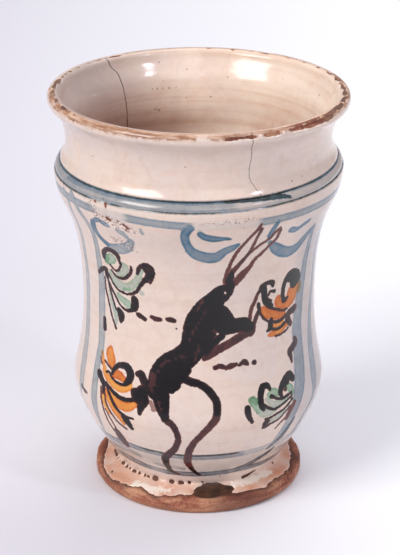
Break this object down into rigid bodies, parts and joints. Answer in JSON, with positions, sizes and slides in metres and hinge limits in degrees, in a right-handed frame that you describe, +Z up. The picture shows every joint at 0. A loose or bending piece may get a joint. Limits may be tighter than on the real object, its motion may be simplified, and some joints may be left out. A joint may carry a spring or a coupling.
{
  "type": "apothecary jar",
  "caption": "Waisted tin-glazed earthenware jar with a spreading foot, a beaded shoulder, a flared collar and an open mouth, for keeping drugs or ointments.",
  "frame": {"origin": "centre of the foot's underside, on the plane the jar stands on", "axes": "+Z up along the jar's axis from the foot to the mouth; -Y is the front, where the painted panel is"},
  "size_m": [0.1277, 0.1278, 0.1786],
  "materials": {
    "clay": "bare red earthenware, matt and worn",
    "outside_glaze": "white tin glaze, glossy, warm white",
    "inside_glaze": "white tin glaze, glossy, pinkish where thin"
  },
  "bodies": {
    "root": {"clay_body": "clay", "outer_glaze": "outside_glaze", "inner_glaze": "inside_glaze"}
  },
  "joints": []
}
